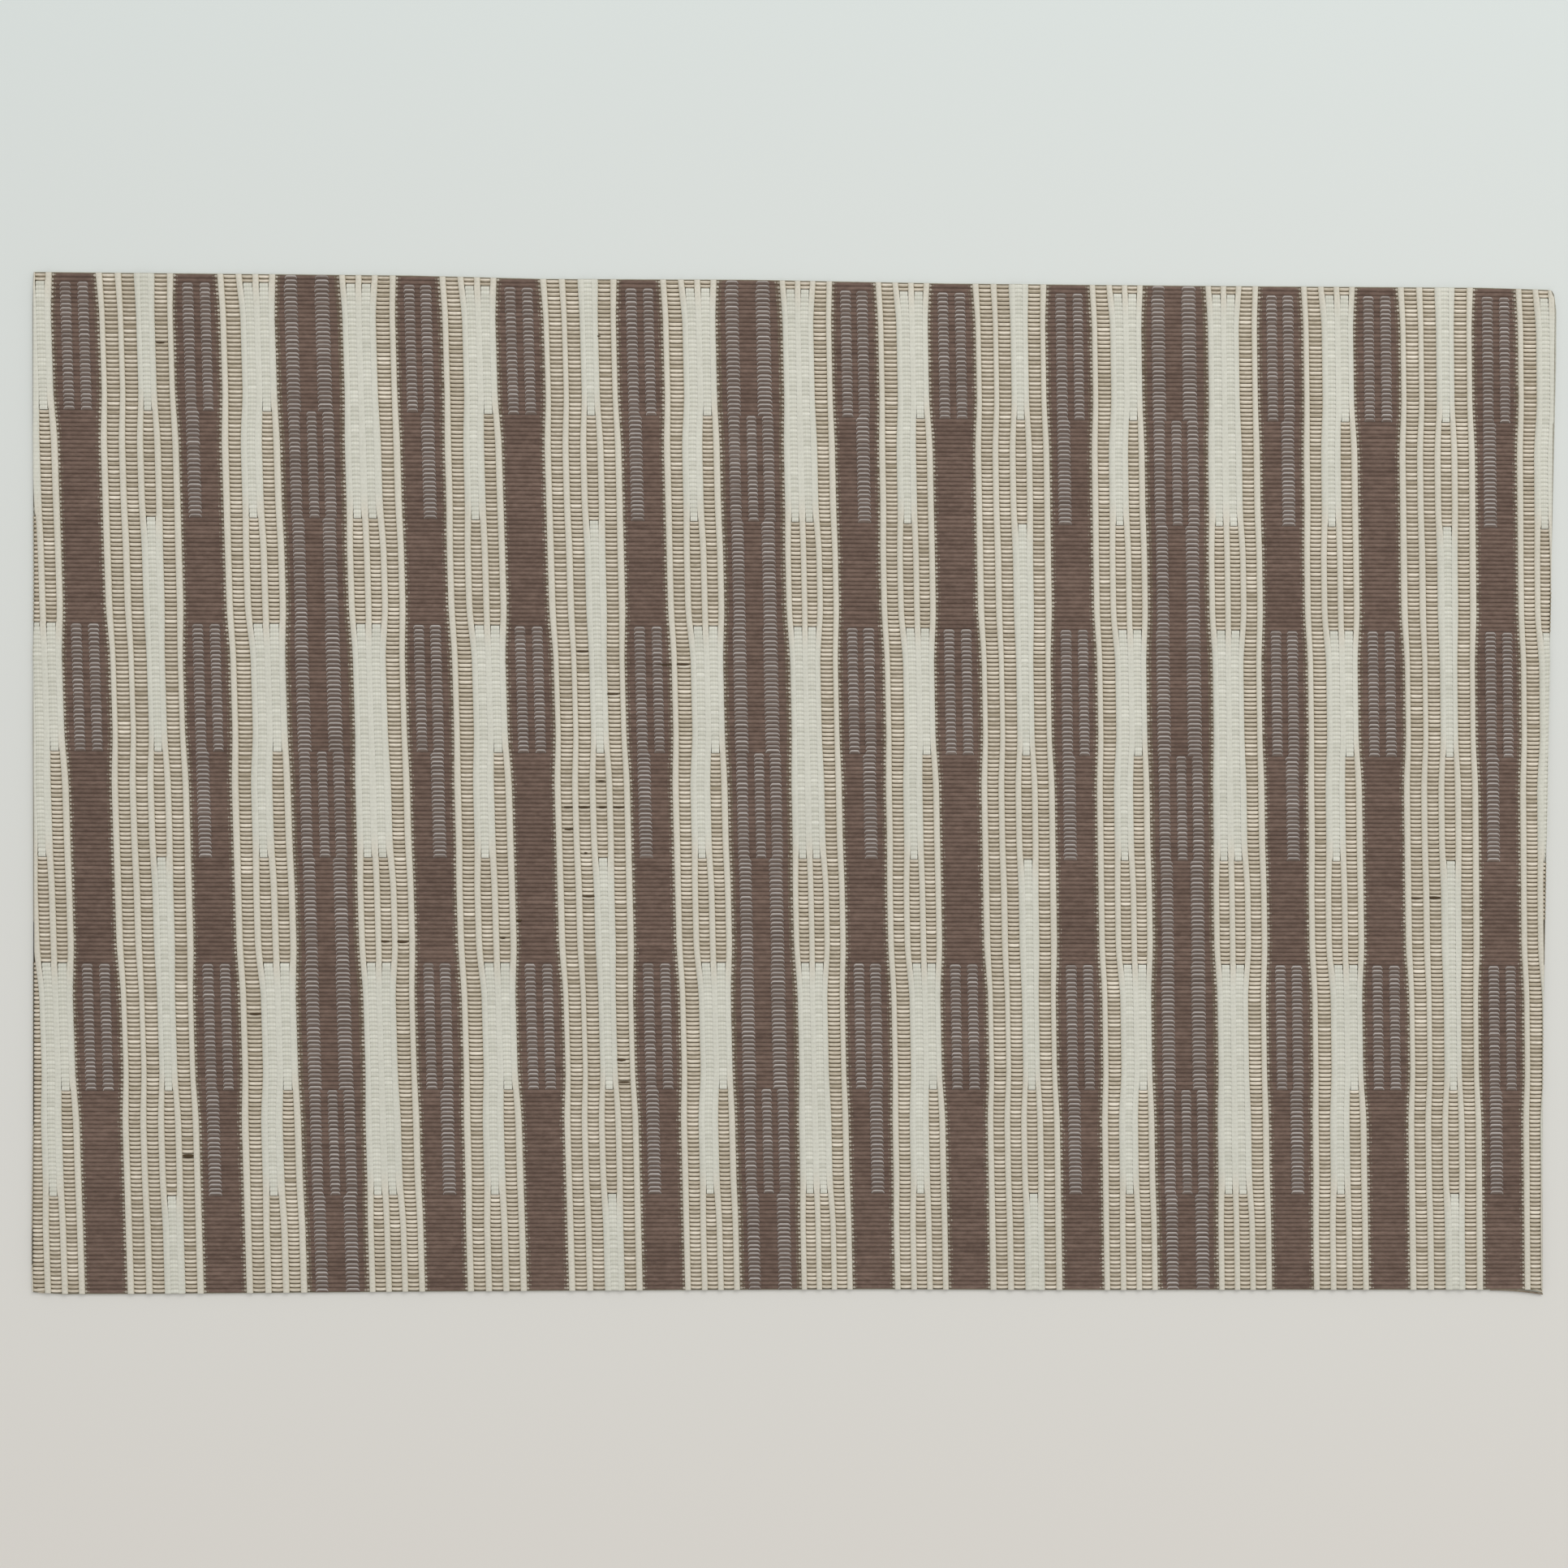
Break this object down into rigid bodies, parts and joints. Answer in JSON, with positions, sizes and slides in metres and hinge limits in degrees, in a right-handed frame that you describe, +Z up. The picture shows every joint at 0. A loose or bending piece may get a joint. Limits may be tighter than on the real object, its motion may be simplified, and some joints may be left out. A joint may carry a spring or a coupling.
{
  "type": "woven paper placemat",
  "caption": "Flat rectangular placemat of woven twisted paper, with fine ribs across its width, lengthwise cream ribbons, tan openwork columns and brown stripes, and a thin sealed rim.",
  "frame": {"origin": "middle of the underside, on the surface that the mat rests on", "axes": "+X along the long edges, to the right as pictured; +Y across them, toward the far edge as pictured; +Z up, out of the patterned face"},
  "size_m": [0.4516, 0.3018, 0.0014],
  "materials": {
    "cream_paper": "matte",
    "brown_paper": "matte",
    "tan_paper": "matte",
    "grey_paper": "matte",
    "sealed_rim": "matte"
  },
  "bodies": {
    "root": {"placemat": "cream_paper"}
  },
  "joints": []
}
